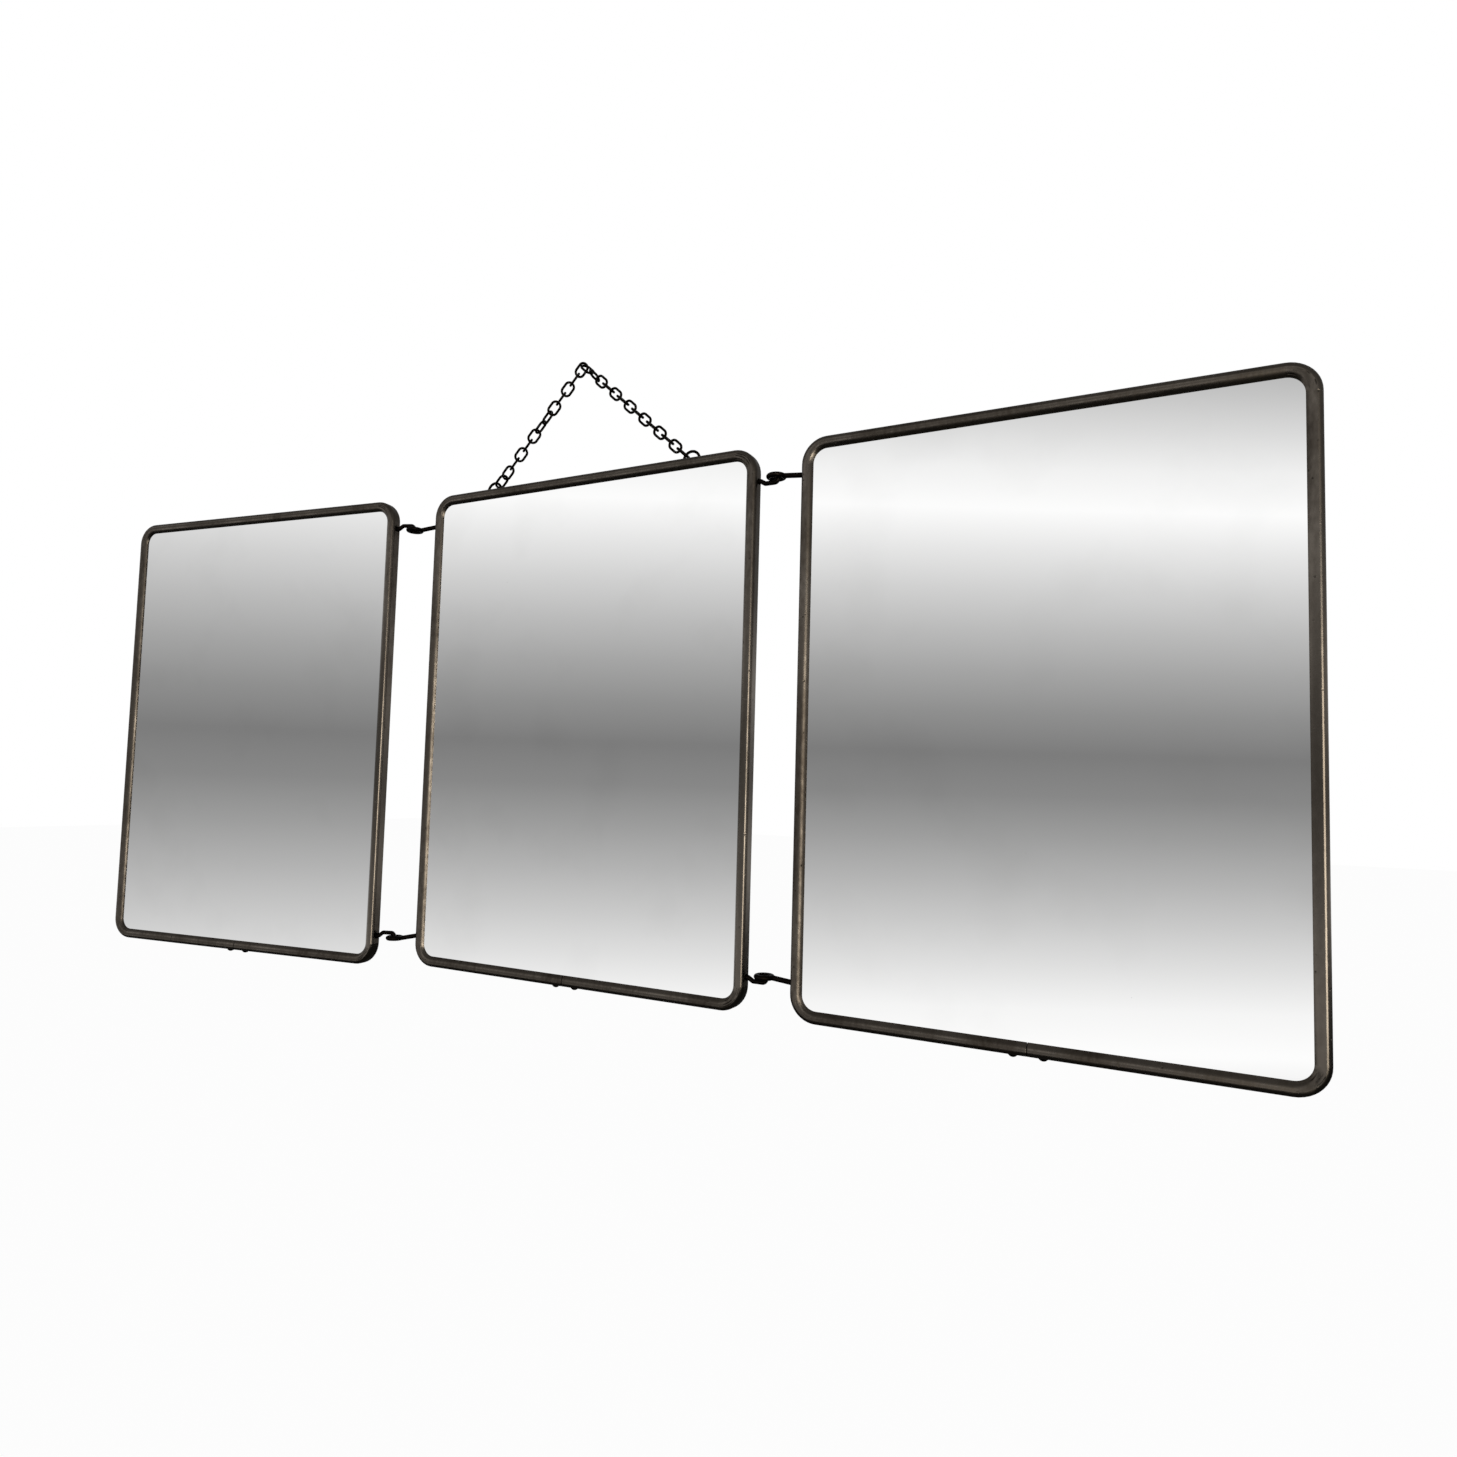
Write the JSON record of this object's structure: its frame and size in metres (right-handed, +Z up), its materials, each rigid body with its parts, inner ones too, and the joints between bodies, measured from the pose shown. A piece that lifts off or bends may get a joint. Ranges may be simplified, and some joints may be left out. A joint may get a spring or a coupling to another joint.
{
  "type": "triptych mirror",
  "caption": "Hanging mirror of three metal-framed glasses: the middle one hangs by a link chain from a nail, and the side ones fold on wire hooks and eyes.",
  "frame": {"origin": "middle of the nail under the chain's top link pair", "axes": "+X to the right of a person who looks into the mirrors, +Z up, the wall on the +Y side"},
  "size_m": [0.595, 0.0404, 0.3015],
  "materials": {
    "frame_metal": "aged nickel plate, worn and spotted",
    "mirror_glass": "silvered glass",
    "backing_board": "plain board",
    "back_plate": "dull tinned sheet",
    "splice_metal": "plain sheet",
    "rivets": "darkened metal",
    "tab_metal": "darkened sheet",
    "chain_wire": "oxidised wire",
    "ring_wire": "oxidised wire",
    "hook_wire": "oxidised wire"
  },
  "bodies": {
    "chain": {"chain_link_01": "chain_wire", "chain_link_02": "chain_wire", "chain_link_03": "chain_wire", "chain_link_04": "chain_wire", "chain_link_05": "chain_wire", "chain_link_06": "chain_wire", "chain_link_07": "chain_wire", "chain_link_08": "chain_wire", "chain_link_09": "chain_wire", "chain_link_10": "chain_wire", "chain_link_11": "chain_wire", "chain_link_12": "chain_wire", "chain_link_13": "chain_wire", "chain_link_14": "chain_wire", "chain_link_15": "chain_wire", "chain_link_16": "chain_wire", "chain_link_17": "chain_wire", "chain_link_18": "chain_wire", "chain_link_19": "chain_wire", "chain_link_20": "chain_wire", "chain_link_21": "chain_wire", "chain_link_22": "chain_wire", "chain_link_23": "chain_wire", "chain_link_24": "chain_wire", "chain_link_25": "chain_wire", "chain_link_26": "chain_wire", "chain_link_27": "chain_wire"},
    "middle_mirror": {"middle_frame": "frame_metal", "middle_glass": "mirror_glass", "middle_backing_board": "backing_board", "middle_back_plate": "back_plate", "middle_splice": "splice_metal", "middle_splice_rivets": "rivets", "left_ring": "ring_wire", "right_ring": "ring_wire", "left_ring_tab": "tab_metal", "right_ring_tab": "tab_metal", "ring_tab_rivets": "rivets", "left_upper_eye": "hook_wire", "left_lower_eye": "hook_wire", "right_upper_hook": "hook_wire", "right_lower_hook": "hook_wire"},
    "left_hooks": {"left_upper_hook": "hook_wire", "left_lower_hook": "hook_wire"},
    "left_mirror": {"left_frame": "frame_metal", "left_glass": "mirror_glass", "left_backing_board": "backing_board", "left_back_plate": "back_plate", "left_splice": "splice_metal", "left_splice_rivets": "rivets"},
    "right_eyes": {"right_upper_eye": "hook_wire", "right_lower_eye": "hook_wire"},
    "right_mirror": {"right_frame": "frame_metal", "right_glass": "mirror_glass", "right_backing_board": "backing_board", "right_back_plate": "back_plate", "right_splice": "splice_metal", "right_splice_rivets": "rivets"}
  },
  "joints": [
    {"name": "hang_tilt", "type": "hinge", "parent": "chain", "child": "middle_mirror", "pos_m": [0, 0, -0.04717], "axis": [1, 0, 0], "range_deg": [-45, 0]},
    {"name": "left_fold", "type": "hinge", "parent": "middle_mirror", "child": "left_hooks", "pos_m": [-0.09868, -0.0092, -0.1711], "axis": [0, 0, 1], "range_deg": [-55, 146.54]},
    {"name": "left_hook_swing", "type": "hinge", "parent": "left_hooks", "child": "left_mirror", "pos_m": [-0.1086, -0.01293, -0.1711], "axis": [0, 0, 1], "range_deg": [-10.14, 26.86]},
    {"name": "right_fold", "type": "hinge", "parent": "middle_mirror", "child": "right_eyes", "pos_m": [0.10743, -0.00401, -0.1711], "axis": [0, 0, -1], "range_deg": [-55, 119]},
    {"name": "right_eye_swing", "type": "hinge", "parent": "right_eyes", "child": "right_mirror", "pos_m": [0.12083, -0.00401, -0.1711], "axis": [0, 0, -1], "range_deg": [-16.28, 35.1]}
  ],
  "couplings": [
    {"joint": "left_hook_swing", "follows": "left_fold", "ratio": 0.18261},
    {"joint": "right_eye_swing", "follows": "right_fold", "ratio": 0.29412}
  ]
}
